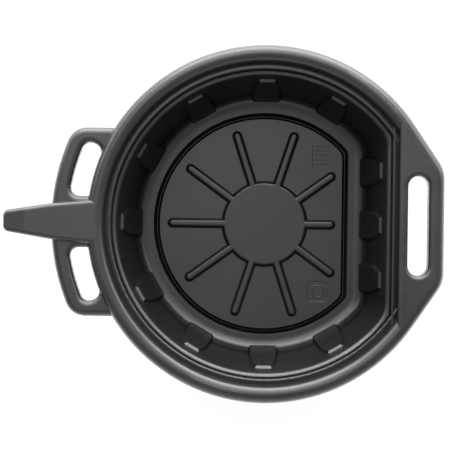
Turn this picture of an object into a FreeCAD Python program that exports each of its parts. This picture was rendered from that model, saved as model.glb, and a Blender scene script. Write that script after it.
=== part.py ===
"""Oil drain pan: a round plastic pan with one flat side, two hand grips and a covered spout.

Frame: millimetres, +Z up, origin on the pan's axis in the plane that it stands on.
+X points to the flat side and its long grip, -X to the spout.

Every moulding has an even wall. A form is made at full size, then again one wall
thickness smaller, and the second is cut from the first. A flat-sided form is a
turned solid crossed with a straight one that has the same section.
"""
import FreeCAD, Part
import math
import os

import Sketcher
from FreeCAD import Rotation, Vector

SIZES = {
    # tub
    "wall": 2.8,
    "draft": 8.15,
    "tub_height": 109,
    "gutter_rise": 4.5,
    "foot_round": 13.5,
    "corner_round": 32,
    "lip_round": 6,
    "seat_radius": 156.6,
    "flat_seat": 127.7,
    "flange_width": 8.4,
    "seam_width": 1.8,
    "seam_floor": 0.4,
    "seam_depth": 1.2,
    # raised floor
    "plateau_radius": 112.8,
    "flat_plateau": 83,
    "plateau_corner": 15,
    "plateau_rise": 8,
    "plateau_flank": 18,
    "groove_width": 0.8,
    "groove_slope": 38,
    "hub_radius": 43.7,
    "rib_rise": 5,
    "rib_crest": 2.8,
    "rib_spread": 2.6,
    "rib_round": 2.8,
    "rib_reach": 99,
    "flat_rib_reach": 71,
    # shallow marks in the raised floor
    "mark_depth": 0.5,
    "mark_line": 1.2,
    "panel_x": 59.8,
    "panel_y": 72.5,
    "panel_length": 18,
    "panel_width": 24,
    "panel_margin": 2.6,
    "stamp_x": 58.1,
    "stamp_y": -72.3,
    "stamp_size": 22,
    "stamp_corner": 5,
    "stamp_ring": 7,
    # pilasters
    "pilaster_depth": 4.6,
    "pilaster_width": 28.5,
    "pilaster_foot_round": 12,
    "pilaster_shoulder": 62,
    "pilaster_shoulder_width": 21,
    "pilaster_shoulder_round": 25,
    "pilaster_top": 86,
    "pilaster_top_depth": 2.5,
    "pilaster_top_width": 10.5,
    "pilaster_side": 38,
    "pilaster_pitch": 56.3,
    "dent_bottom": 22,
    # rim
    "rim_wall": 2.5,
    "rim_radius": 180.1,
    "rim_height": 128,
    "roll_radius": 8.5,
    "ledge_height": 116,
    "ledge_fall": 1.2,
    "riser_radius": 162.5,
    "flat_riser": 133.3,
    "edge_round": 1.5,
    "flat_crest_round": 3,
    # long grip on the flat side
    "grip_edge": 179.4,
    "grip_turn": 34.2,
    "grip_corner": 32,
    "hole_near": 142.7,
    "hole_far": 163.4,
    "hole_half_length": 50,
    "hole_corner": 10.2,
    "hole_round": 4.5,
    # two-hole handle on the spout side
    "handle_radius": 216.2,
    "handle_half_width": 95,
    "handle_corner": 21,
    "handle_height": 123,
    "handle_round": 6.5,
    "handle_root": 140,
    "slot_outer": 200,
    "slot_near": 25.9,
    "slot_end": 24.4,
    "slot_corner": 8.8,
    "slot_inner_corner": 2,
    "slot_round": 5.5,
    # spout
    "spout_root": 170,
    "spout_wall_root": 150,
    "spout_root_half": 22.3,
    "spout_waist": 214.6,
    "spout_waist_half": 18.3,
    "spout_waist_round": 150,
    "spout_tip": 264,
    "spout_tip_half": 10.3,
    "spout_tip_round": 6.5,
    "spout_bend": 241.5,
    "spout_bend_round": 6,
    "spout_drop": 3,
    "spout_round": 4.2,
    "mouth_half_width": 15,
    "mouth_height": 3.3,
    "trough_wall": 2,
    "trough_end": 246,
}

SHEET = "Sizes"
ARC_PILASTERS = 9
FIRST_PILASTER = 60  # degrees round from the flat side
ARC_PILASTER_STEP = 30  # degrees
FLAT_PILASTERS = 3
RIBS = 10
FLAT_RIB_ANGLE = 45  # degrees each side of +X; ribs inside it stop short of the flat side
PANEL_BARS = 4
OVERRUN = 20  # length by which a cutting form passes what it cuts
REACH = 300  # farther out than any point of the pan
FREE_OF_RIM = -160  # handle and spout edges beyond this X are in the open
CLEAR = 1.5  # gap that keeps a form's hidden end clear of a visible face
CLOSE = 0.01
TALL = 1  # an edge that climbs more than this is not a level one
DRAFT = "Sizes.draft * 1 deg"
CORNER_SHIFT = f"tan(45 deg - {DRAFT} / 2)"
GUTTER = "(Sizes.wall + Sizes.gutter_rise)"
FLOOR = "(Sizes.wall + Sizes.plateau_rise)"


def make_sheet(doc):
    """Driving sizes, one row each: name, value, with the name as the alias."""
    sheet = doc.addObject("Spreadsheet::Sheet", SHEET)
    for row, (name, size) in enumerate(SIZES.items(), start=1):
        sheet.set(f"A{row}", name)
        sheet.set(f"B{row}", str(size))
        sheet.setAlias(f"B{row}", name)
    doc.recompute()
    return sheet


def origin_plane(body, role):
    return next(item for item in body.Origin.OriginFeatures if item.Role == role)


def bind(item, **expressions):
    """Bind properties of an object to expressions of the sheet."""
    for name, expression in expressions.items():
        item.setExpression(name, str(expression))


def hold_point(sketch, geometry, vertex, corner):
    """Fix a point of a sketch at the corner's two expressions."""
    for kind, axis, expression in (("DistanceX", -2, corner[0]), ("DistanceY", -1, corner[1])):
        size = float(sketch.evalExpression(str(expression)))
        if size == 0:
            sketch.addConstraint(Sketcher.Constraint("PointOnObject", geometry, vertex, axis))
            continue
        index = sketch.addConstraint(Sketcher.Constraint(kind, -1, 1, geometry, vertex, size))
        sketch.setExpression(f"Constraints[{index}]", str(expression))


def corner_arc(point, before, after, radius):
    """Start, middle and end of the arc that rounds a corner."""
    inward = (before - point).normalize()
    outward = (after - point).normalize()
    half_angle = inward.getAngle(outward) / 2
    reach = radius / math.tan(half_angle)
    bisector = (inward + outward).normalize()
    middle = point + bisector * (radius / math.sin(half_angle) - radius)
    return point + inward * reach, middle, point + outward * reach


def join_sharp(sketch, line_in, line_out, corner):
    """Let two lines meet in a held point."""
    sketch.addConstraint(Sketcher.Constraint("Coincident", line_in, 2, line_out, 1))
    hold_point(sketch, line_out, 1, corner)


def join_round(sketch, line_in, line_out, corner, point, bend):
    """Join two lines by an arc, with their crossing point held at the corner."""
    start, middle, end = bend
    arc = sketch.addGeometry(Part.Arc(start, middle, end), False)
    arc_start = sketch.getPoint(arc, 1)
    forward = arc_start.distanceToPoint(start) < arc_start.distanceToPoint(end)
    first, last = (1, 2) if forward else (2, 1)
    sketch.addConstraint(Sketcher.Constraint("Tangent", line_in, 2, arc, first))
    sketch.addConstraint(Sketcher.Constraint("Tangent", arc, last, line_out, 1))
    size = float(sketch.evalExpression(str(corner[2])))
    radius = sketch.addConstraint(Sketcher.Constraint("Radius", arc, size))
    sketch.setExpression(f"Constraints[{radius}]", str(corner[2]))
    mark = sketch.addGeometry(Part.Point(point), True)
    sketch.addConstraint(Sketcher.Constraint("PointOnObject", mark, 1, line_in))
    sketch.addConstraint(Sketcher.Constraint("PointOnObject", mark, 1, line_out))
    hold_point(sketch, mark, 1, corner)


def outline(sketch, corners):
    """Closed outline through corners (x, y) or (x, y, rounding), each an expression."""
    def number(expression):
        return float(sketch.evalExpression(str(expression)))

    points = [Vector(number(corner[0]), number(corner[1]), 0) for corner in corners]
    count = len(corners)
    bends = [(point, point, point) for point in points]
    for index, corner in enumerate(corners):
        if len(corner) == 3:
            before, after = points[index - 1], points[(index + 1) % count]
            bends[index] = corner_arc(points[index], before, after, number(corner[2]))
    lines = [
        sketch.addGeometry(Part.LineSegment(bends[index][2], bends[(index + 1) % count][0]), False)
        for index in range(count)
    ]
    for index, corner in enumerate(corners):
        line_in, line_out = lines[index - 1], lines[index]
        if len(corner) == 3:
            join_round(sketch, line_in, line_out, corner, points[index], bends[index])
        else:
            join_sharp(sketch, line_in, line_out, corner)


def new_sketch(body, role, corners, height=0):
    """Sketch on one of the body's origin planes, lifted along that plane's normal."""
    sketch = body.newObject("Sketcher::SketchObject", f"{body.Name}_{role[:2]}")
    sketch.AttachmentSupport = [(origin_plane(body, role), "")]
    sketch.MapMode = "FlatFace"
    sketch.setExpression("AttachmentOffset.Base.z", str(height))
    outline(sketch, corners)
    return sketch


def turned(doc, name, section):
    """Solid of revolution about the pan's axis from a section in X and Z."""
    body = doc.addObject("PartDesign::Body", name)
    sketch = new_sketch(body, "XZ_Plane", section)
    turn = body.newObject("PartDesign::Revolution", f"{name}_turn")
    turn.Profile = sketch
    turn.ReferenceAxis = (sketch, ["V_Axis"])
    turn.Angle = 360
    return body


def straight(doc, name, section):
    """The section in X and Z drawn out evenly to both sides along Y."""
    body = doc.addObject("PartDesign::Body", name)
    pad = body.newObject("PartDesign::Pad", f"{name}_pad")
    pad.Profile = new_sketch(body, "XZ_Plane", section)
    pad.SideType = "Symmetric"
    pad.Length = 2 * REACH
    return body


def upright(doc, name, plan, bottom, top):
    """The plan in X and Y raised from one height to another."""
    body = doc.addObject("PartDesign::Body", name)
    pad = body.newObject("PartDesign::Pad", f"{name}_pad")
    pad.Profile = new_sketch(body, "XY_Plane", plan, bottom)
    bind(pad, Length=f"({top}) - ({bottom})")
    return body


def leaning(doc, name, face, near, depth, angle, widen):
    """Outline that leans outward with the wall, drawn outward at an angle round the axis."""
    body = doc.addObject("PartDesign::Body", name)
    sketch = new_sketch(body, "YZ_Plane", face, near)
    offset = sketch.AttachmentOffset
    offset.Rotation = Rotation(Vector(1, 0, 0), 1)
    sketch.AttachmentOffset = offset
    sketch.setExpression("AttachmentOffset.Rotation.Angle", DRAFT)
    pad = body.newObject("PartDesign::Pad", f"{name}_pad")
    pad.Profile = sketch
    bind(pad, Length=depth, TaperAngle=widen)
    body.Placement.Rotation = Rotation(Vector(0, 0, 1), angle)
    return body


def joined(doc, name, pieces):
    fuse = doc.addObject("Part::MultiFuse", name)
    fuse.Shapes = pieces
    fuse.Refine = True
    return fuse


def without(doc, name, base, tool):
    cut = doc.addObject("Part::Cut", name)
    cut.Base = base
    cut.Tool = tool
    cut.Refine = True
    return cut


def crossed(doc, name, base, tool):
    common = doc.addObject("Part::Common", name)
    common.Base = base
    common.Tool = tool
    return common


def rounded(doc, name, base, radius, choose):
    """Fillet on the edges that choose() picks, with a radius from the sheet."""
    doc.recompute()
    size = float(base.evalExpression(str(radius)))
    edges = [
        (number, size, size)
        for number, edge in enumerate(base.Shape.Edges, start=1)
        if choose(edge)
    ]
    fillet = doc.addObject("Part::Fillet", name)
    fillet.Base = base
    fillet.Edges = edges
    return fillet


def is_upright(edge):
    """A straight edge that runs along Z."""
    box = edge.BoundBox
    return box.ZLength > TALL and box.XLength < CLOSE and box.YLength < CLOSE


def is_flat_corner(edge):
    """A climbing edge where the round form meets its flat side."""
    return edge.BoundBox.ZLength > TALL and edge.BoundBox.XMin > 0


def top_of(item):
    return max(vertex.Z for vertex in item.Shape.Vertexes)


def edges_at(item, height):
    """Edges lying in one level plane."""
    return [
        edge
        for edge in item.Shape.Edges
        if all(abs(vertex.Z - height) < CLOSE for vertex in edge.Vertexes)
    ]


def outer_edges(item, height):
    """Outermost outline of the item's face at a height."""
    return [
        edge
        for face in item.Shape.Faces
        if abs(face.CenterOfMass.z - height) < CLOSE
        for edge in face.OuterWire.Edges
    ]


def among(edge, edges):
    return any(edge.isSame(other) for other in edges)


def flat_sided(doc, name, section):
    """Form with one flat side: section(flat) gives the corners of its section."""
    turned_part = turned(doc, f"{name}_round", section(False))
    straight_part = straight(doc, f"{name}_flat", section(True))
    return crossed(doc, name, turned_part, straight_part)


def inner_end(flat):
    """Where a section begins: on the axis, or far past it for the straight form."""
    return -REACH if flat else 0


def foot_radius(flat):
    """Sharp corner of the tub's inside, where the drafted wall would meet the gutter."""
    seat = "Sizes.flat_seat" if flat else "Sizes.seat_radius"
    lip = f"Sizes.lip_round * {CORNER_SHIFT}"
    return f"({seat} - {lip} - (Sizes.tub_height - Sizes.wall) * tan({DRAFT}))"


def wall_radius(flat, height):
    """Inside of the tub's wall at a height."""
    return f"({foot_radius(flat)} + ({height} - Sizes.wall) * tan({DRAFT}))"


def bowl_section(flat, shift, bottom, top):
    """Drafted bowl, grown outward by shift, with sharp edges."""
    return [
        (inner_end(flat), bottom),
        (f"{wall_radius(flat, bottom)} + {shift}", bottom),
        (f"{wall_radius(flat, top)} + {shift}", top),
        (inner_end(flat), top),
    ]


def bowl(doc, name, bottom, top, grown):
    """The tub's inside or outside form, its upright corners and its foot rounded."""
    shift = f"{grown} / cos({DRAFT})"
    sharp = flat_sided(doc, f"{name}_sharp", lambda flat: bowl_section(flat, shift, bottom, top))
    cornered = rounded(
        doc,
        f"{name}_cornered",
        sharp,
        f"Sizes.corner_round + {grown}",
        is_flat_corner,
    )
    doc.recompute()
    foot = edges_at(cornered, min(vertex.Z for vertex in cornered.Shape.Vertexes))
    return rounded(
        doc,
        name,
        cornered,
        f"Sizes.foot_round + {grown}",
        lambda edge: among(edge, foot),
    )


def flange_section(flat):
    """Flange that carries the rim, solid to the axis."""
    edge = "Sizes.flat_seat" if flat else "Sizes.seat_radius"
    return [
        (inner_end(flat), "Sizes.tub_height - Sizes.wall"),
        (f"{edge} + Sizes.flange_width", "Sizes.tub_height - Sizes.wall"),
        (f"{edge} + Sizes.flange_width", "Sizes.tub_height"),
        (inner_end(flat), "Sizes.tub_height"),
    ]


def seam_section(flat, floor, top):
    """Form inside one side of the seam groove, out to floor and top short of the seat."""
    seat = "Sizes.flat_seat" if flat else "Sizes.seat_radius"
    bottom = "Sizes.tub_height - Sizes.seam_depth"
    return [
        (inner_end(flat), bottom),
        (f"{seat} - {floor}", bottom),
        (f"{seat} - {top}", "Sizes.tub_height"),
        (inner_end(flat), "Sizes.tub_height"),
    ]


def seam_groove(doc):
    """Groove in the flange along the foot of the rim, upright on the rim's side."""
    to_rim = flat_sided(doc, "seam_outside", lambda flat: seam_section(flat, 0, 0))
    to_lip = flat_sided(
        doc,
        "seam_inside",
        lambda flat: seam_section(flat, "Sizes.seam_floor", "Sizes.seam_width"),
    )
    return without(doc, "seam_groove", to_rim, to_lip)


def pilaster_faces(flat, shift, bottom):
    """Room left inside the pilasters' faces, moved outward by shift."""
    foot = f"{wall_radius(flat, GUTTER)} - Sizes.pilaster_depth + {shift}"
    top = f"{wall_radius(flat, 'Sizes.pilaster_top')} - Sizes.pilaster_top_depth + {shift}"
    return [
        (inner_end(flat), bottom),
        (foot, bottom, "Sizes.pilaster_foot_round"),
        (top, "Sizes.pilaster_top"),
        (top, "Sizes.tub_height"),
        (inner_end(flat), "Sizes.tub_height"),
    ]


def pilaster_face(bottom, narrower):
    """Outline of a pilaster: straight sides that curve in to a narrow top."""
    foot = f"(Sizes.pilaster_width / 2 - {narrower})"
    shoulder = f"(Sizes.pilaster_shoulder_width / 2 - {narrower})"
    top = f"(Sizes.pilaster_top_width / 2 - {narrower} / 2)"
    shoulder_height = f"Sizes.pilaster_shoulder - {narrower}"
    top_height = f"Sizes.pilaster_top - {narrower}"
    bend = "Sizes.pilaster_shoulder_round"
    return [
        (f"-{foot}", bottom),
        (foot, bottom),
        (shoulder, shoulder_height, bend),
        (top, top_height),
        (f"-{top}", top_height),
        (f"-{shoulder}", shoulder_height, bend),
    ]


def pilaster_forms(doc, name, bottom, narrower):
    """Twelve forms that set the pilasters' places and outlines; they widen outward."""
    turns = [
        (FIRST_PILASTER + ARC_PILASTER_STEP * number, 0)
        for number in range(ARC_PILASTERS)
    ]
    steps = [(0, number - (FLAT_PILASTERS - 1) / 2) for number in range(FLAT_PILASTERS)]
    forms = []
    for number, (angle, step) in enumerate(turns + steps):
        flat = angle == 0
        near = f"{foot_radius(flat)} - Sizes.pilaster_depth - {CLEAR}"
        form = leaning(
            doc,
            f"{name}_{number + 1}",
            pilaster_face(bottom, narrower),
            near,
            OVERRUN,
            angle,
            "Sizes.pilaster_side",
        )
        bind(form, **{"Placement.Base.y": f"{step} * Sizes.pilaster_pitch"})
        forms.append(form)
    return joined(doc, name, forms)


def flat_sided_block(doc, name, levels, radii, flats, corner):
    """Block between two levels with one flat side, its two upright corners rounded."""
    bottom, top = levels
    cone = doc.addObject("Part::Cone", f"{name}_cone")
    bind(
        cone,
        Radius1=radii[0],
        Radius2=radii[1],
        Height=f"{top} - {bottom}",
        **{"Placement.Base.z": bottom},
    )
    section = [(-REACH, bottom), (flats[0], bottom), (flats[1], top), (-REACH, top)]
    side = straight(doc, f"{name}_side", section)
    block = crossed(doc, f"{name}_block", cone, side)
    return rounded(doc, name, block, corner, is_flat_corner)


def plateau_block(doc, name, bottom, top, inset):
    """Raised floor with its steep flanks, narrowing upward."""
    slope = "tan(Sizes.plateau_flank * 1 deg)"
    runs = [f"({FLOOR} - {level}) * {slope} - {inset}" for level in (bottom, top)]
    return flat_sided_block(
        doc,
        name,
        (bottom, top),
        [f"Sizes.plateau_radius + {run}" for run in runs],
        [f"Sizes.flat_plateau + {run}" for run in runs],
        f"Sizes.plateau_corner - {inset}",
    )


def groove_block(doc, name, bottom, top, grown):
    """Everything inside the outer side of the groove round the plateau, widening upward."""
    flank_run = "Sizes.plateau_rise * tan(Sizes.plateau_flank * 1 deg)"
    slope = "tan(Sizes.groove_slope * 1 deg)"
    runs = [
        f"{flank_run} + Sizes.groove_width + {grown} + ({level} - Sizes.wall) * {slope}"
        for level in (bottom, top)
    ]
    return flat_sided_block(
        doc,
        name,
        (bottom, top),
        [f"Sizes.plateau_radius + {run}" for run in runs],
        [f"Sizes.flat_plateau + {run}" for run in runs],
        f"Sizes.plateau_corner + Sizes.groove_width + {grown}",
    )


def floor_relief(doc):
    """Raised hub with ten ribs; those towards the flat side end level with each other."""
    hub = doc.addObject("Part::Cone", "hub")
    bind(
        hub,
        Radius1="Sizes.hub_radius + Sizes.rib_spread",
        Radius2="Sizes.hub_radius",
        Height="Sizes.rib_rise",
        **{"Placement.Base.z": FLOOR},
    )
    pieces = [hub]
    for number in range(RIBS):
        angle = number * 360 / RIBS
        reach = "Sizes.rib_reach"
        if min(angle, 360 - angle) < FLAT_RIB_ANGLE:
            reach = f"Sizes.flat_rib_reach / cos({angle} deg)"
        bar = doc.addObject("Part::Wedge", f"rib_{number + 1}")
        bind(
            bar,
            Xmin="Sizes.hub_radius / 2",
            X2min="Sizes.hub_radius / 2",
            Xmax=reach,
            X2max=reach,
            Ymin=0,
            Ymax="Sizes.rib_rise",
            Zmin="-Sizes.rib_crest - Sizes.rib_spread",
            Zmax="Sizes.rib_crest + Sizes.rib_spread",
            Z2min="-Sizes.rib_crest",
            Z2max="Sizes.rib_crest",
        )
        bar.Placement.Rotation = Rotation(Vector(0, 0, 1), angle) * Rotation(Vector(1, 0, 0), 90)
        bind(bar, **{"Placement.Base.z": FLOOR})
        tip = doc.addObject("Part::Cone", f"rib_tip_{number + 1}")
        bind(
            tip,
            Radius1="Sizes.rib_crest + Sizes.rib_spread",
            Radius2="Sizes.rib_crest",
            Height="Sizes.rib_rise",
            **{
                "Placement.Base.x": f"{reach} * cos({angle} deg)",
                "Placement.Base.y": f"{reach} * sin({angle} deg)",
                "Placement.Base.z": FLOOR,
            },
        )
        pieces += [bar, tip]
    relief = joined(doc, "sharp_relief", pieces)
    doc.recompute()
    crest = edges_at(relief, top_of(relief))
    return rounded(
        doc,
        "floor_relief",
        relief,
        "Sizes.rib_round",
        lambda edge: among(edge, crest),
    )


def block_at(doc, name, center, size, bottom, top):
    """Upright box centred on a point of the floor."""
    box = doc.addObject("Part::Box", name)
    bind(
        box,
        Length=size[0],
        Width=size[1],
        Height=f"{top} - {bottom}",
        **{
            "Placement.Base.x": f"{center[0]} - ({size[0]}) / 2",
            "Placement.Base.y": f"{center[1]} - ({size[1]}) / 2",
            "Placement.Base.z": bottom,
        },
    )
    return box


def panel_mark(doc, bottom, top):
    """Sunk oblong panel with a few plain bars left standing in it."""
    center = ("Sizes.panel_x", "Sizes.panel_y")
    panel = block_at(doc, "panel", center, ("Sizes.panel_length", "Sizes.panel_width"), bottom, top)
    bar_size = ("Sizes.panel_length - 2 * Sizes.panel_margin", "Sizes.mark_line")
    pitch = f"Sizes.panel_width / {PANEL_BARS + 1}"
    bars = []
    for number in range(PANEL_BARS):
        across = f"{center[1]} + {number - (PANEL_BARS - 1) / 2} * {pitch}"
        name = f"panel_bar_{number + 1}"
        bars.append(block_at(doc, name, (center[0], across), bar_size, bottom, top))
    return without(doc, "panel_mark", panel, joined(doc, "panel_bars", bars))


def stamp_mark(doc, bottom, top):
    """Sunk square stamp with rounded corners and a plain ring left standing in it."""
    center = ("Sizes.stamp_x", "Sizes.stamp_y")
    square = block_at(doc, "stamp", center, ("Sizes.stamp_size", "Sizes.stamp_size"), bottom, top)
    stamp = rounded(doc, "stamp_round", square, "Sizes.stamp_corner", is_upright)
    radii = {"ring_outside": "Sizes.stamp_ring", "ring_inside": "Sizes.stamp_ring - Sizes.mark_line"}
    discs = []
    for name, radius in radii.items():
        disc = doc.addObject("Part::Cylinder", name)
        bind(
            disc,
            Radius=radius,
            Height=f"{top} - {bottom}",
            **{
                "Placement.Base.x": center[0],
                "Placement.Base.y": center[1],
                "Placement.Base.z": bottom,
            },
        )
        discs.append(disc)
    return without(doc, "stamp_mark", stamp, without(doc, "stamp_ring", *discs))


def floor_marks(doc):
    bottom = f"{FLOOR} - Sizes.mark_depth"
    top = f"{FLOOR} + {OVERRUN}"
    return joined(doc, "floor_marks", [panel_mark(doc, bottom, top), stamp_mark(doc, bottom, top)])


def tub_room(doc):
    """The inside of the bowl with the pilasters left standing in it."""
    above = f"(Sizes.tub_height + {OVERRUN})"
    full_room = bowl(doc, "bowl_inside", GUTTER, above, 0)
    faces = flat_sided(doc, "pilaster_room", lambda flat: pilaster_faces(flat, 0, GUTTER))
    forms = pilaster_forms(doc, "pilasters", 0, "0")
    bumps = without(doc, "pilaster_bumps", forms, faces)
    return without(doc, "room", full_room, bumps)


def tub_block(doc):
    """The outside of the bowl with its flange, dented behind the pilasters."""
    bowl_outside = bowl(doc, "bowl_outside", "Sizes.gutter_rise", "Sizes.tub_height", "Sizes.wall")
    flange = flat_sided(doc, "flange", flange_section)
    full_block = joined(doc, "full_block", [bowl_outside, flange])
    shift = f"Sizes.wall * {CORNER_SHIFT}"
    backs = flat_sided(doc, "pilaster_backs", lambda flat: pilaster_faces(flat, shift, 0))
    thinner = "Sizes.wall / cos(Sizes.pilaster_side * 1 deg)"
    dent_forms = pilaster_forms(doc, "dent_forms", "Sizes.dent_bottom", thinner)
    dents = without(doc, "pilaster_dents", dent_forms, backs)
    return without(doc, "tub_block", full_block, dents)


def make_tub(doc):
    """Bowl with a flat side, pilasters, gutter, groove, raised plateau, hub and ribs."""
    sharp_shell = without(doc, "sharp_shell", tub_block(doc), tub_room(doc))
    doc.recompute()
    crest = edges_at(sharp_shell, top_of(sharp_shell))
    flange_edge = outer_edges(sharp_shell, top_of(sharp_shell))
    shell = rounded(
        doc,
        "tub_shell",
        sharp_shell,
        "Sizes.lip_round",
        lambda edge: among(edge, crest) and not among(edge, flange_edge),
    )
    below = f"(-{OVERRUN})"
    above = f"({GUTTER} + 1)"
    plateau = plateau_block(doc, "plateau", "0", FLOOR, "0")
    recess_inset = "Sizes.wall / cos(Sizes.plateau_flank * 1 deg)"
    recess = plateau_block(doc, "recess", below, "Sizes.plateau_rise", recess_inset)
    groove = groove_block(doc, "groove", "Sizes.wall", above, "0")
    middle = groove_block(doc, "middle", "0", above, "0")
    ring_block = groove_block(doc, "ring_block", "0", GUTTER, "Sizes.wall")
    open_ring = without(doc, "open_ring", ring_block, groove)
    ring = without(doc, "standing_ring", open_ring, recess)
    cuts = joined(doc, "wall_cuts", [middle, seam_groove(doc)])
    open_shell = without(doc, "tub_wall", shell, cuts)
    plain_skin = without(doc, "plain_skin", plateau, recess)
    plateau_skin = without(doc, "plateau_skin", plain_skin, floor_marks(doc))
    return joined(doc, "pan_tub", [open_shell, ring, plateau_skin, floor_relief(doc)])


def opening(flat, grown):
    """Room inside the rim, from the seat on the tub up past the ledge and the crest."""
    seat = "Sizes.flat_seat" if flat else "Sizes.seat_radius"
    riser = "Sizes.flat_riser" if flat else "Sizes.riser_radius"
    crest_round = "Sizes.flat_crest_round" if flat else "Sizes.roll_radius"
    return [
        (inner_end(flat), f"Sizes.tub_height - {OVERRUN}"),
        (f"{seat} + {grown}", f"Sizes.tub_height - {OVERRUN}"),
        (f"{seat} + {grown}", f"Sizes.ledge_height - {grown}", "Sizes.edge_round"),
        (f"{riser} + {grown}", f"Sizes.ledge_height - Sizes.ledge_fall - {grown}"),
        (f"{riser} + {grown}", f"Sizes.rim_height - {grown}", f"{crest_round} - {grown}"),
        (REACH, f"Sizes.rim_height - {grown}"),
        (REACH, f"Sizes.rim_height + {OVERRUN}"),
        (inner_end(flat), f"Sizes.rim_height + {OVERRUN}"),
    ]


def deck_block(doc, name, bottom, top, inset, crest_round):
    """Rim disc, cut off level with the long grip's edge, joined to the grip and rounded on top."""
    turn = "Sizes.grip_turn * 1 deg"
    radius = f"(Sizes.rim_radius - {inset})"
    edge = f"(Sizes.grip_edge - {inset})"
    disc = doc.addObject("Part::Cylinder", f"{name}_disc")
    bind(disc, Radius=radius, Height=f"{top} - {bottom}", **{"Placement.Base.z": bottom})
    touch_x, touch_y = f"{radius} * cos({turn})", f"{radius} * sin({turn})"
    corner_y = f"({radius} - {edge} * cos({turn})) / sin({turn})"
    corner_round = f"Sizes.grip_corner - {inset}"
    plan = [
        (0, 0),
        (touch_x, f"-({touch_y})"),
        (edge, f"-({corner_y})", corner_round),
        (edge, corner_y, corner_round),
        (touch_x, touch_y),
    ]
    plate = upright(doc, f"{name}_plate", plan, bottom, top)
    inside = straight(
        doc,
        f"{name}_inside",
        [(-REACH, bottom), (edge, bottom), (edge, top), (-REACH, top)],
    )
    trimmed = crossed(doc, f"{name}_trimmed", disc, inside)
    block = joined(doc, f"{name}_block", [trimmed, plate])
    doc.recompute()
    crest = edges_at(block, top_of(block))
    return rounded(doc, name, block, crest_round, lambda edge: among(edge, crest))


def handle_block(doc, name, bottom, top, inset, edge_round):
    """Plate of the two-hole handle: an arc round the pan with square sides and rounded corners."""
    disc = doc.addObject("Part::Cylinder", f"{name}_disc")
    box = doc.addObject("Part::Box", f"{name}_box")
    bind(
        disc,
        Radius=f"Sizes.handle_radius - {inset}",
        Height=f"{top} - {bottom}",
        **{"Placement.Base.z": bottom},
    )
    bind(
        box,
        Length="Sizes.handle_radius - Sizes.handle_root",
        Width=f"2 * (Sizes.handle_half_width - {inset})",
        Height=f"{top} - {bottom}",
        **{
            "Placement.Base.x": "-Sizes.handle_radius",
            "Placement.Base.y": f"{inset} - Sizes.handle_half_width",
            "Placement.Base.z": bottom,
        },
    )
    plate = crossed(doc, f"{name}_plate", disc, box)
    upright_edges = rounded(
        doc,
        f"{name}_corners",
        plate,
        f"Sizes.handle_corner - {inset}",
        lambda edge: is_upright(edge) and edge.BoundBox.XMax < FREE_OF_RIM,
    )
    doc.recompute()
    crest = edges_at(upright_edges, top_of(upright_edges))
    return rounded(
        doc,
        name,
        upright_edges,
        edge_round,
        lambda edge: among(edge, crest) and edge.BoundBox.XMin < FREE_OF_RIM,
    )


def handle_slots(doc, name, grown):
    """The handle's two curved hand holes, one each side of the spout."""
    slots = []
    turn = f"(Sizes.slot_end * 1 deg + {grown} / Sizes.slot_outer * 180 deg / pi)"
    box_length = "(Sizes.handle_radius - Sizes.handle_root)"
    box_width = "Sizes.handle_half_width"
    near = f"(Sizes.slot_near - {grown})"
    for side, begin, low in (
        ("left", f"180 deg - {turn}", near),
        ("right", "180 deg", f"-{near} - {box_width}"),
    ):
        fan = doc.addObject("Part::Cylinder", f"{name}_{side}_fan")
        core = doc.addObject("Part::Cylinder", f"{name}_{side}_core")
        box = doc.addObject("Part::Box", f"{name}_{side}_box")
        fan.Placement.Rotation = Rotation(Vector(0, 0, 1), 180)
        bind(
            fan,
            Radius=f"Sizes.slot_outer + {grown}",
            Height="Sizes.rim_height",
            Angle=turn,
            **{"Placement.Rotation.Angle": begin},
        )
        bind(core, Radius=f"Sizes.rim_radius - {grown}", Height="Sizes.rim_height")
        bind(
            box,
            Length=box_length,
            Width=box_width,
            Height="Sizes.rim_height",
            **{"Placement.Base.x": "-Sizes.handle_radius", "Placement.Base.y": low},
        )
        half = crossed(doc, f"{name}_{side}_half", fan, box)
        sector = without(doc, f"{name}_{side}_sector", half, core)
        doc.recompute()
        inner_corner = min(
            (edge for edge in sector.Shape.Edges if is_upright(edge)),
            key=lambda edge: abs(edge.BoundBox.Center.y) - edge.BoundBox.Center.x,
        )
        wide = rounded(
            doc,
            f"{name}_{side}_wide",
            sector,
            f"Sizes.slot_corner + {grown}",
            lambda edge: is_upright(edge) and not edge.isSame(inner_corner),
        )
        slots.append(
            rounded(
                doc,
                f"{name}_{side}",
                wide,
                "Sizes.slot_inner_corner",
                lambda edge: is_upright(edge)
                and edge.BoundBox.Center.distanceToPoint(inner_corner.BoundBox.Center) < CLOSE,
            )
        )
    return joined(doc, name, slots)


def grip_hole(doc, name, grown):
    """Long hand hole with full round ends in the grip on the flat side."""
    near = f"Sizes.hole_near - {grown}"
    far = f"Sizes.hole_far + {grown}"
    half = f"(Sizes.hole_half_length + {grown})"
    corner = f"Sizes.hole_corner + {grown}"
    plan = [
        (near, f"-{half}", corner),
        (far, f"-{half}", corner),
        (far, half, corner),
        (near, half, corner),
    ]
    return upright(doc, name, plan, 0, "Sizes.rim_height")


def spout_plan(inset, root):
    """Plan of the spout from its root at the rim to its narrow rounded tip."""
    root_half = f"(Sizes.spout_root_half - {inset})"
    waist, waist_half = "-Sizes.spout_waist", f"(Sizes.spout_waist_half - {inset})"
    tip, tip_half = f"{inset} - Sizes.spout_tip", f"(Sizes.spout_tip_half - {inset})"
    waist_round = "Sizes.spout_waist_round"
    tip_round = f"Sizes.spout_tip_round - {inset}"
    return [
        (f"-{root}", root_half),
        (waist, waist_half, waist_round),
        (tip, tip_half, tip_round),
        (tip, f"-{tip_half}", tip_round),
        (waist, f"-{waist_half}", waist_round),
        (f"-{root}", f"-{root_half}"),
    ]


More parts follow.
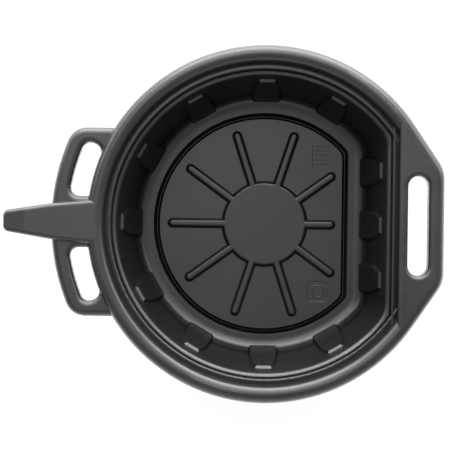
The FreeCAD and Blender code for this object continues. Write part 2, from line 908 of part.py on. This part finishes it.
def spout_block(doc, name, bottom, top, inset, root):
    """Spout's outer form, its roof bent down towards the tip."""
    plan = upright(doc, f"{name}_plan", spout_plan(inset, root), bottom, top)
    side = straight(
        doc,
        f"{name}_side",
        [
            (-REACH, bottom),
            (0, bottom),
            (0, top),
            ("-Sizes.spout_bend", top, "Sizes.spout_bend_round"),
            ("-Sizes.spout_tip", f"{top} - Sizes.spout_drop"),
            (-REACH, f"{top} - Sizes.spout_drop"),
        ],
    )
    block = crossed(doc, f"{name}_block", plan, side)
    doc.recompute()
    roof = top_of(block) - SIZES["spout_drop"]
    root_face = block.Shape.BoundBox.XMax - CLOSE
    return rounded(
        doc,
        name,
        block,
        f"Sizes.spout_round - {inset}",
        lambda edge: edge.BoundBox.ZMin > roof - TALL
        and edge.BoundBox.XMin < root_face
        and not is_ridge(edge),
    )


def is_ridge(edge):
    """A line that runs straight across the spout's roof."""
    box = edge.BoundBox
    return box.XLength < CLOSE and box.YLength > 2 * SIZES["spout_tip_half"]


def rim_blocks(doc, name, bottom, inset):
    """Deck, handle and spout forms, all set in from their outer faces by inset."""
    deck = deck_block(
        doc,
        f"{name}_deck",
        bottom,
        f"Sizes.rim_height - {inset}",
        inset,
        f"Sizes.roll_radius - {inset}",
    )
    handle = handle_block(
        doc,
        f"{name}_handle",
        bottom,
        f"Sizes.handle_height - {inset}",
        inset,
        f"Sizes.handle_round - {inset}",
    )
    roof = f"Sizes.rim_height - {inset}"
    spout = spout_block(doc, f"{name}_spout", bottom, roof, inset, "Sizes.spout_root")
    return deck, handle, spout


def hole_edges(doc, name, base, hole, radius):
    """Cut a hand hole through a grip and round its upper edge."""
    cut = without(doc, f"{name}_cut", base, hole)
    doc.recompute()
    box = hole.Shape.BoundBox
    box.enlarge(CLOSE)
    crest = edges_at(cut, top_of(cut))
    return rounded(
        doc,
        name,
        cut,
        radius,
        lambda edge: among(edge, crest)
        and box.isInside(edge.BoundBox.Center)
        and box.XMin <= edge.BoundBox.XMin
        and edge.BoundBox.XMax <= box.XMax,
    )


def make_rim_frame(doc):
    """Rolled rim, ledge, long grip, two-hole handle and spout roof, open from below."""
    wall = "Sizes.rim_wall"
    deck, handle, spout = rim_blocks(doc, "outer", "Sizes.tub_height", "0")
    deck = hole_edges(doc, "grip_deck", deck, grip_hole(doc, "grip_hole", "0"), "Sizes.hole_round")
    slots = handle_slots(doc, "slots", "0")
    handle = hole_edges(doc, "slotted_handle", handle, slots, "Sizes.slot_round")
    outside = joined(doc, "rim_outside", [deck, handle, spout])

    below = f"(Sizes.tub_height - {OVERRUN})"
    deck_room, handle_room, spout_room = rim_blocks(doc, "inner", below, wall)
    hole_walls = joined(
        doc,
        "hole_walls",
        [grip_hole(doc, "grip_hole_wall", wall), handle_slots(doc, "slot_walls", wall)],
    )
    rim_disc = doc.addObject("Part::Cylinder", "rim_disc")
    bind(rim_disc, Radius="Sizes.rim_radius", Height="Sizes.rim_height")
    ledge_walls = flat_sided(doc, "ledge_walls", lambda flat: opening(flat, wall))
    wall_root = "Sizes.spout_wall_root"
    spout_walls = spout_block(doc, "spout_walls", below, "Sizes.rim_height", "0", wall_root)
    channel_plan = upright(doc, "channel_plan", spout_plan(wall, wall_root), below, "Sizes.rim_height")
    channel = crossed(doc, "channel", deck_room, channel_plan)
    handle_hollow = without(
        doc, "handle_hollow", handle_room, joined(doc, "handle_keep", [rim_disc, hole_walls])
    )
    around = joined(doc, "hollow_around", [deck_room, handle_hollow])
    keep = joined(doc, "hollow_keep", [hole_walls, spout_walls])
    sides = without(doc, "hollow_sides", around, keep)
    hollow = joined(doc, "hollow", [sides, spout_room, channel])
    hollow = without(doc, "rim_hollow", hollow, ledge_walls)
    shell = without(doc, "rim_shell", outside, hollow)

    mouth = doc.addObject("Part::Box", "mouth")
    bind(
        mouth,
        Length=f"{OVERRUN} / 2",
        Width="2 * Sizes.mouth_half_width",
        Height="Sizes.mouth_height",
        **{
            "Placement.Base.x": f"-Sizes.seat_radius - {wall} - {CLEAR}",
            "Placement.Base.y": "-Sizes.mouth_half_width",
            "Placement.Base.z": "Sizes.tub_height",
        },
    )
    room = flat_sided(doc, "rim_room", lambda flat: opening(flat, "0"))
    return without(doc, "rim_frame", shell, joined(doc, "rim_cuts", [room, mouth]))


def make_spout_trough(doc):
    """Tray that closes the spout from below and leaves an outlet under the tip."""
    wall = "Sizes.trough_wall"
    inset = "Sizes.rim_wall"
    sill = "Sizes.ledge_height"
    root = "Sizes.spout_wall_root"
    bottom = f"(Sizes.tub_height - {wall})"
    tray = upright(doc, "tray", spout_plan(inset, root), bottom, sill)
    dish_plan = spout_plan(f"({inset} + {wall})", root)
    dish = upright(doc, "dish", dish_plan, "Sizes.tub_height", "Sizes.rim_height")
    flange_edge = doc.addObject("Part::Cylinder", "flange_edge")
    bind(flange_edge, Radius="Sizes.seat_radius + Sizes.flange_width", Height="Sizes.rim_height")
    outlet = doc.addObject("Part::Box", "outlet")
    bind(
        outlet,
        Length=f"{OVERRUN}",
        Width="2 * Sizes.spout_root_half",
        Height="Sizes.rim_height",
        **{
            "Placement.Base.x": f"-Sizes.trough_end - {OVERRUN}",
            "Placement.Base.y": "-Sizes.spout_root_half",
        },
    )
    cuts = joined(doc, "tray_cuts", [dish, flange_edge, outlet])
    return without(doc, "spout_trough", tray, cuts)


def check(doc, parts):
    """Stop if any feature failed or any piece is not one sound solid."""
    failed = [item.Name for item in doc.Objects if {"Invalid", "Error"} & set(item.State)]
    if failed:
        raise RuntimeError(f"failed features: {failed}")
    for part in parts:
        shape = part.Shape
        if shape.isNull() or not shape.isValid() or len(shape.Solids) != 1:
            raise RuntimeError(f"{part.Label} is not one sound solid")


def main():
    doc = FreeCAD.newDocument("oil_drain_pan")
    make_sheet(doc)
    parts = [make_tub(doc), make_rim_frame(doc), make_spout_trough(doc)]
    doc.recompute()
    check(doc, parts)
    os.makedirs("parts", exist_ok=True)
    for part in parts:
        part.Shape.exportStep(f"parts/{part.Label}.step")


main()
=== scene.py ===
"""Looks of the oil drain pan: satin black moulded plastic on a white table, seen from above.

Lengths are metres in the part's own frame: +Z up, +X to the flat side, -X to the spout.
"""

import math

import bpy
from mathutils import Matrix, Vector

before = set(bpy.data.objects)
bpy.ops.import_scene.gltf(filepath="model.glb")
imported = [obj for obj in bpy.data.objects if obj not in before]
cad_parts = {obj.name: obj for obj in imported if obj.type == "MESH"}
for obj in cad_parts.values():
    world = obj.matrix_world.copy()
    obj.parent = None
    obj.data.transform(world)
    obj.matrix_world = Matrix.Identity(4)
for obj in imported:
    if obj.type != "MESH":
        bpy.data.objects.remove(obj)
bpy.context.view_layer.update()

MM = 0.001

# Plastic: linear grey of the body, its mottles, its rubbed edges, and the painted shade in its deep
# recesses.
BODY_GREYS = (0.0040, 0.0058)
MOTTLE_GREY = 0.010
RUBBED_GREY = 0.020
# Painted shade: the near-black colour put into narrow recesses.
PAINTED_RECESS_SHADE_GREY = 0.001
BLUE_CAST = 1.03
MOTTLE_SHARE = 0.35
RUBBED_SHARE = 0.5

# Noise levels over which the clouds, the mottles and the patches of rubbing come in.
CLOUD_LEVELS = (0.35, 0.65)
MOTTLE_LEVELS = (0.62, 0.72)
PATCH_LEVELS = (0.4, 0.65)
LEAST_RUBBING = 0.2
ROUGHNESS_LEVELS = (0.3, 0.7)

# Noises: cycles per metre, and detail.
CLOUDS = (14, 4)
MOTTLES = (160, 3)
GRAIN = (2600, 2)
WAVES = (9, 2)
TABLE_CLOUDS = (3, 2)
NOISE_ROUGHNESS = 0.55

# Surface: roughness over the clouds, over the mottles and off the rubbed edges; bump heights.
ROUGHNESS = (0.34, 0.38)
MOTTLE_ROUGHNESS = (-0.02, 0.03)
RUBBED_POLISH = 0.05
WAVE_HEIGHT = 0.6 * MM
WAVE_STRENGTH = 0.6
GRAIN_HEIGHT = 0.02 * MM
GRAIN_STRENGTH = 0.5
PLASTIC_IOR = 1.49

# Cosine of the angle between the rounded and the flat normal: no edge, full edge.
EDGE_TURN = (0.995, 0.93)
EDGE_SAMPLES = 6

# Gloss falls as a face turns away: 1 less the cosine of the view angle, and the gloss there.
EVEN_BLEND = 0.5
TURNED_AWAY = (0.6, 0.78)
GLOSS = (0.5, 0.08)

# Narrow recesses get painted shade, a darker colour and weaker gloss: how open they are, and the
# share of light that is left at worst.
RECESS_DEPTH = 7 * MM
RECESS_OPENNESS = (0.33, 0.5)
RECESS_SHARE = 0.03
RECESS_SAMPLES = 8

# Pieces: name, material, noise seed, and how far its edges are shaded round.
PLASTICS = (
    ("pan_tub", "tub_plastic", 3.0, 0.6 * MM),
    ("rim_frame", "rim_plastic", 11.0, 0.6 * MM),
    ("spout_trough", "trough_plastic", 19.0, 0.5 * MM),
)

# Where the camera stands: over the pan, a little towards the spout.
CAMERA_HEIGHT = 1.628
CAMERA_OVER = (-0.01866, 0.00374)
CAMERA_TURN = math.radians(0.8)
LENS = 120
SENSOR = 36
SHIFT = (-0.0493, -0.0110)

# Lights: name, bearing and height in degrees, distance, width and height, watts.
PAN_CENTRE = (0, 0, 0.1)
LAMPS = (
    ("horizon_light", 85, 7, 2.0, (3.0, 0.4), 62),
    ("key_light", 88, 23, 2.0, (2.4, 0.7), 70),
    ("key_left", 138, 20, 2.0, (1.8, 0.8), 34),
    ("key_right", 38, 20, 2.0, (1.8, 0.8), 36),
    ("high_light", 90, 42, 2.1, (2.4, 0.6), 40),
    ("steep_light", 95, 64, 2.3, (2.0, 0.8), 24),
    ("top_light", 135, 78, 2.4, (1.2, 1.0), 4),
    ("fill_light", -90, 22, 2.0, (2.6, 0.8), 10),
)
ROOM_LIGHT = 0.76

# Table: half its side, its tones, and its glow and grey as the pan and the camera meet them.
TABLE_HALF = 3.0
TABLE_TONES = (0.96, 1.0)
TABLE_GLOW = 1.1
TABLE_SEEN = 0.9
TABLE_SEEN_GREY = 0.12


def node(tree, kind, inputs=None, **settings):
    """Shader node with its settings and input values; a socket as a value links it."""
    made = tree.nodes.new(kind)
    for name, value in settings.items():
        setattr(made, name, value)
    for name, value in (inputs or {}).items():
        fill(tree, made.inputs[name], value)
    return made


def fill(tree, socket, value):
    """Link a socket to the input, or set the input to a plain value."""
    if isinstance(value, bpy.types.NodeSocket):
        tree.links.new(value, socket)
    else:
        socket.default_value = value


def noise(tree, place, scale, detail, seed):
    """Noise of a given scale (cycles per metre) about the object."""
    return node(
        tree,
        "ShaderNodeTexNoise",
        {
            "Vector": place,
            "Scale": scale,
            "Detail": detail,
            "Roughness": NOISE_ROUGHNESS,
            "W": seed,
        },
        noise_dimensions="4D",
    ).outputs["Fac"]


def remap(tree, value, low, high, start, end):
    """Linear map of low..high onto start..end, held at its ends."""
    return node(
        tree,
        "ShaderNodeMapRange",
        {"Value": value, "From Min": low, "From Max": high, "To Min": start, "To Max": end},
        clamp=True,
    ).outputs["Result"]


def mix_color(tree, share, first, second):
    """First colour where the share is 0, second where it is 1."""
    mixed = node(tree, "ShaderNodeMix", {"Factor": share}, data_type="RGBA")
    fill(tree, mixed.inputs[6], first)
    fill(tree, mixed.inputs[7], second)
    return mixed.outputs[2]


def math_node(tree, operation, first, second):
    """Arithmetic on two values."""
    return node(tree, "ShaderNodeMath", {0: first, 1: second}, operation=operation).outputs["Value"]


def grey(level):
    return (level, level, level * BLUE_CAST, 1)


def empty_material(name):
    """Material with an empty node tree, and the object's own coordinates in it."""
    material = bpy.data.materials.new(name)
    material.use_nodes = True
    tree = material.node_tree
    tree.nodes.clear()
    return material, tree, node(tree, "ShaderNodeTexCoord").outputs["Object"]


def show(tree, shader):
    """Make a shader the material's surface."""
    node(tree, "ShaderNodeOutputMaterial", {"Surface": shader})


def rubbed_edges(tree, soft, mottling):
    """Patchy share that is high where the rounded normal turns away from the mesh's own."""
    hard = node(tree, "ShaderNodeNewGeometry").outputs["Normal"]
    agreement = node(
        tree, "ShaderNodeVectorMath", {0: soft, 1: hard}, operation="DOT_PRODUCT"
    ).outputs["Value"]
    edges = remap(tree, agreement, *EDGE_TURN, 0, 1)
    patches = remap(tree, mottling, *PATCH_LEVELS, LEAST_RUBBING, 1)
    return math_node(tree, "MULTIPLY", edges, patches)


def grained_normal(tree, soft, waves, grain):
    """Rounded normal with slow waves of shrinkage and a fine mould grain."""
    wavy = node(
        tree,
        "ShaderNodeBump",
        {"Height": waves, "Distance": WAVE_HEIGHT, "Strength": WAVE_STRENGTH, "Normal": soft},
    ).outputs["Normal"]
    return node(
        tree,
        "ShaderNodeBump",
        {"Height": grain, "Distance": GRAIN_HEIGHT, "Strength": GRAIN_STRENGTH, "Normal": wavy},
    ).outputs["Normal"]


def recess_lit_share(tree):
    """Share of light kept by the painted recess shade: 1 on open faces, down to nearly 0 at the
    bottom of narrow grooves.
    """
    openness = node(
        tree,
        "ShaderNodeAmbientOcclusion",
        {"Distance": RECESS_DEPTH},
        samples=RECESS_SAMPLES,
        only_local=True,
    ).outputs["AO"]
    return remap(tree, openness, *RECESS_OPENNESS, RECESS_SHARE, 1)


def body_color(tree, clouding, mottling, rubbing, painted_recess_shade):
    """Black with faint flow clouds and mottles, paler at rubbed edges, with painted shade darkening
    it in narrow recesses.
    """
    dark, light = BODY_GREYS
    clouded = remap(tree, clouding, *CLOUD_LEVELS, 0, 1)
    mottled = remap(tree, mottling, *MOTTLE_LEVELS, 0, MOTTLE_SHARE)
    rubbed = math_node(tree, "MULTIPLY", rubbing, RUBBED_SHARE)
    body = mix_color(tree, clouded, grey(dark), grey(light))
    body = mix_color(tree, mottled, body, grey(MOTTLE_GREY))
    body = mix_color(tree, rubbed, body, grey(RUBBED_GREY))
    # Painted shade: the colour goes near black in narrow recesses.
    return mix_color(tree, painted_recess_shade, grey(PAINTED_RECESS_SHADE_GREY), body)


def plastic_roughness(tree, clouding, mottling, rubbing):
    """Even satin, a little smoother where it is rubbed."""
    clouded = remap(tree, clouding, *ROUGHNESS_LEVELS, *ROUGHNESS)
    mottled = remap(tree, mottling, *ROUGHNESS_LEVELS, *MOTTLE_ROUGHNESS)
    polish = math_node(tree, "MULTIPLY", rubbing, RUBBED_POLISH)
    return math_node(tree, "SUBTRACT", math_node(tree, "ADD", clouded, mottled), polish)


def moulded_plastic(name, seed, edge_round):
    """Satin black polypropylene: fine mould grain, faint flow clouding, rubbed edges, and painted
    shade in narrow recesses.
    """
    material, tree, place = empty_material(name)
    clouding = noise(tree, place, *CLOUDS, seed)
    mottling = noise(tree, place, *MOTTLES, seed + 1)
    grain = noise(tree, place, *GRAIN, seed + 2)
    waves = noise(tree, place, *WAVES, seed + 3)

    soft = node(
        tree, "ShaderNodeBevel", {"Radius": edge_round}, samples=EDGE_SAMPLES
    ).outputs["Normal"]
    rubbing = rubbed_edges(tree, soft, mottling)
    # Painted shade in narrow recesses, read from ambient occlusion.
    painted_recess_shade = recess_lit_share(tree)
    facing = node(tree, "ShaderNodeLayerWeight", {"Blend": EVEN_BLEND}).outputs["Facing"]
    gloss = remap(tree, facing, *TURNED_AWAY, *GLOSS)
    shader = node(
        tree,
        "ShaderNodeBsdfPrincipled",
        {
            "Base Color": body_color(tree, clouding, mottling, rubbing, painted_recess_shade),
            "Roughness": plastic_roughness(tree, clouding, mottling, rubbing),
            "IOR": PLASTIC_IOR,
            # Painted shade: the gloss is dimmed in narrow recesses too.
            "Specular IOR Level": math_node(tree, "MULTIPLY", painted_recess_shade, gloss),
            "Normal": grained_normal(tree, soft, waves, grain),
        },
    )
    show(tree, shader.outputs["BSDF"])
    return material


def dress(name, material):
    """Put a material in every slot of a piece, on the object; a piece without slots gets one."""
    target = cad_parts[name]
    if not target.material_slots:
        target.data.materials.append(material)
    for slot in target.material_slots:
        slot.link = "OBJECT"
        slot.material = material


def pale_floor():
    """White table top, far wider than the picture."""
    mesh = bpy.data.meshes.new("floor")
    corners = [
        (-TABLE_HALF, -TABLE_HALF, 0),
        (TABLE_HALF, -TABLE_HALF, 0),
        (TABLE_HALF, TABLE_HALF, 0),
        (-TABLE_HALF, TABLE_HALF, 0),
    ]
    mesh.from_pydata(corners, [], [(0, 1, 2, 3)])
    floor = bpy.data.objects.new("floor", mesh)
    bpy.context.scene.collection.objects.link(floor)

    material, tree, place = empty_material("floor_white")
    duller, brighter = TABLE_TONES
    tone = mix_color(tree, noise(tree, place, *TABLE_CLOUDS, 1.0), grey(duller), grey(brighter))
    seen = node(tree, "ShaderNodeLightPath").outputs["Is Camera Ray"]
    paper_tone = mix_color(tree, seen, tone, grey(TABLE_SEEN_GREY))
    strength = remap(tree, seen, 0, 1, TABLE_GLOW, TABLE_SEEN)
    paper = node(tree, "ShaderNodeBsdfDiffuse", {"Color": paper_tone}).outputs["BSDF"]
    glow = node(
        tree, "ShaderNodeEmission", {"Color": tone, "Strength": strength}
    ).outputs["Emission"]
    both = node(tree, "ShaderNodeAddShader", {0: paper, 1: glow})
    show(tree, both.outputs["Shader"])
    mesh.materials.append(material)


def softbox(name, bearing, height, distance, size, power):
    """Rectangular soft light at a bearing and height angle, turned to the pan."""
    light = bpy.data.lights.new(name, "AREA")
    light.shape = "RECTANGLE"
    light.size, light.size_y = size
    light.energy = power
    lamp = bpy.data.objects.new(name, light)
    turn, rise = math.radians(bearing), math.radians(height)
    away = Vector(
        (math.cos(turn) * math.cos(rise), math.sin(turn) * math.cos(rise), math.sin(rise))
    )
    lamp.location = Vector(PAN_CENTRE) + away * distance
    lamp.rotation_euler = (-away).to_track_quat("-Z", "Y").to_euler()
    lamp.visible_camera = False
    bpy.context.scene.collection.objects.link(lamp)


def studio():
    """Fan of soft lights from low to steep on one side, a weak fill and even room light."""
    for lamp in LAMPS:
        softbox(*lamp)
    world = bpy.data.worlds.new("studio_air")
    world.use_nodes = True
    background = world.node_tree.nodes["Background"]
    background.inputs["Color"].default_value = (1, 1, 1, 1)
    background.inputs["Strength"].default_value = ROOM_LIGHT
    bpy.context.scene.world = world


def overhead_camera():
    """Camera straight over the pan, with its frame shifted."""
    data = bpy.data.cameras.new("overhead")
    data.sensor_width = SENSOR
    data.lens = LENS
    data.shift_x, data.shift_y = SHIFT
    camera = bpy.data.objects.new("overhead", data)
    camera.location = (*CAMERA_OVER, CAMERA_HEIGHT)
    camera.rotation_euler = (0, 0, CAMERA_TURN)
    bpy.context.scene.collection.objects.link(camera)
    bpy.context.scene.camera = camera


for piece, plastic, seed, edge_round in PLASTICS:
    dress(piece, moulded_plastic(plastic, seed, edge_round))
pale_floor()
studio()
overhead_camera()
bpy.context.scene.view_settings.view_transform = "Standard"
